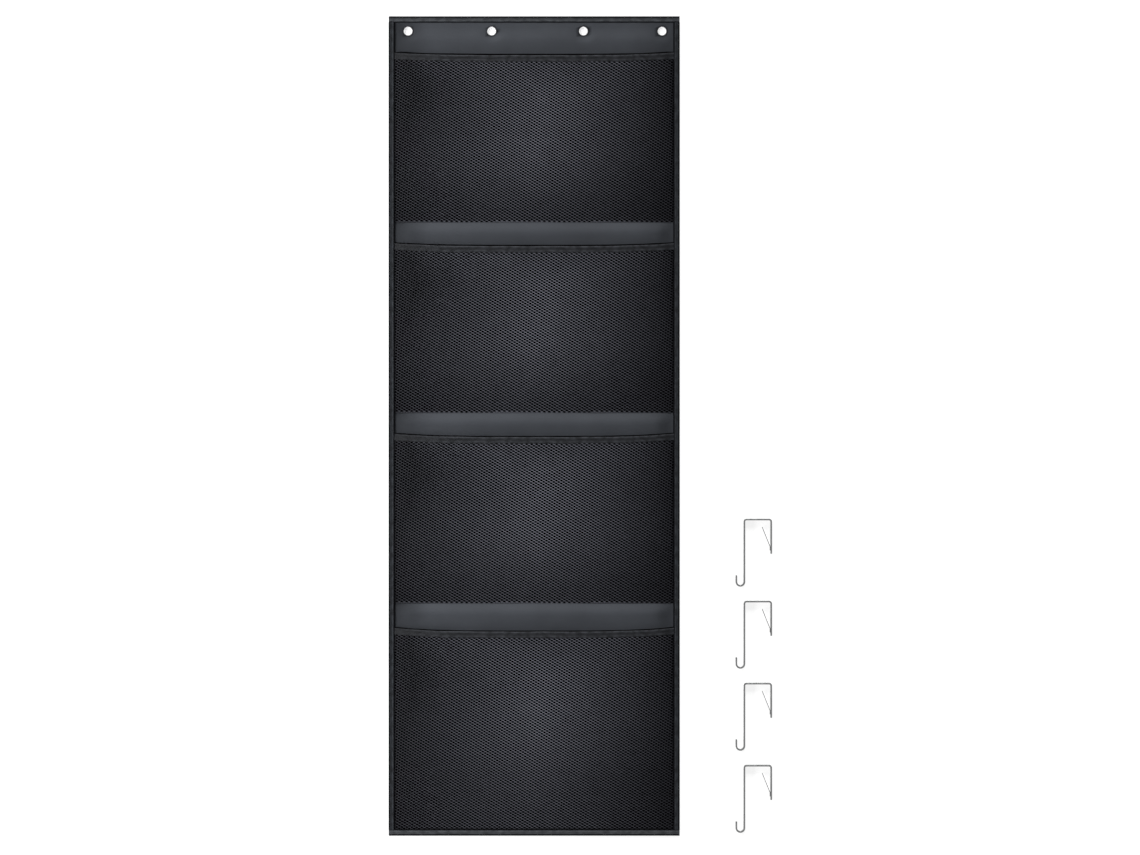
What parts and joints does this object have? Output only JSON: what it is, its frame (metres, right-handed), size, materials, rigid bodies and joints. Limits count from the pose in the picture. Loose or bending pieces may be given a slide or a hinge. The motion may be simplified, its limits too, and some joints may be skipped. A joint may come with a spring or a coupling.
{
  "type": "hanging toy organizer",
  "caption": "Tall cloth hanging panel with stacked see-through mesh pockets, bound edges, eyelets along the top, and separate over-door hooks.",
  "frame": {"origin": "middle of the back panel's rear face, on the floor it lies on", "axes": "+X to the panel's right, +Y towards the eyelets (up when it hangs), +Z out of the pockets"},
  "size_m": [0.553, 1.182, 0.0174],
  "materials": {
    "cloth": "matte",
    "tape": "matte",
    "net": "matte",
    "eyelet": "gloss",
    "hook": "satin"
  },
  "bodies": {
    "organizer": {"back_panel": "cloth", "edge_binding_top": "tape", "edge_binding_bottom": "tape", "edge_binding_left": "tape", "edge_binding_right": "tape", "mesh_pocket_1": "net", "mesh_pocket_2": "net", "mesh_pocket_3": "net", "mesh_pocket_4": "net", "pocket_hem_1": "tape", "pocket_hem_2": "tape", "pocket_hem_3": "tape", "pocket_hem_4": "tape", "eyelet_1": "eyelet", "eyelet_2": "eyelet", "eyelet_3": "eyelet", "eyelet_4": "eyelet", "eyelet_washer_1": "eyelet", "eyelet_washer_2": "eyelet", "eyelet_washer_3": "eyelet", "eyelet_washer_4": "eyelet"},
    "hook_1_body": {"hook_1": "hook"},
    "hook_2_body": {"hook_2": "hook"},
    "hook_3_body": {"hook_3": "hook"},
    "hook_4_body": {"hook_4": "hook"},
    "hook_1_leaf": {"hook_spring_1": "hook"},
    "hook_2_leaf": {"hook_spring_2": "hook"},
    "hook_3_leaf": {"hook_spring_3": "hook"},
    "hook_4_leaf": {"hook_spring_4": "hook"}
  },
  "joints": [
    {"name": "hook_1_lift", "type": "slide", "parent": "organizer", "child": "hook_1_body", "axis": [0, 0, 1], "range_m": [0, 0.1]},
    {"name": "hook_2_lift", "type": "slide", "parent": "organizer", "child": "hook_2_body", "axis": [0, 0, 1], "range_m": [0, 0.1]},
    {"name": "hook_3_lift", "type": "slide", "parent": "organizer", "child": "hook_3_body", "axis": [0, 0, 1], "range_m": [0, 0.1]},
    {"name": "hook_4_lift", "type": "slide", "parent": "organizer", "child": "hook_4_body", "axis": [0, 0, 1], "range_m": [0, 0.1]},
    {"name": "hook_1_spring_flex", "type": "hinge", "parent": "hook_1_body", "child": "hook_1_leaf", "pos_m": [0.3399, -0.1731, 0.0035], "axis": [0, 0, -1], "range_deg": [0, 20], "stiffness_Nm_per_rad": 0.02},
    {"name": "hook_2_spring_flex", "type": "hinge", "parent": "hook_2_body", "child": "hook_2_leaf", "pos_m": [0.3399, -0.2914, 0.0035], "axis": [0, 0, -1], "range_deg": [0, 20], "stiffness_Nm_per_rad": 0.02},
    {"name": "hook_3_spring_flex", "type": "hinge", "parent": "hook_3_body", "child": "hook_3_leaf", "pos_m": [0.3399, -0.4097, 0.0035], "axis": [0, 0, -1], "range_deg": [0, 20], "stiffness_Nm_per_rad": 0.02},
    {"name": "hook_4_spring_flex", "type": "hinge", "parent": "hook_4_body", "child": "hook_4_leaf", "pos_m": [0.3399, -0.528, 0.0035], "axis": [0, 0, -1], "range_deg": [0, 20], "stiffness_Nm_per_rad": 0.02}
  ]
}
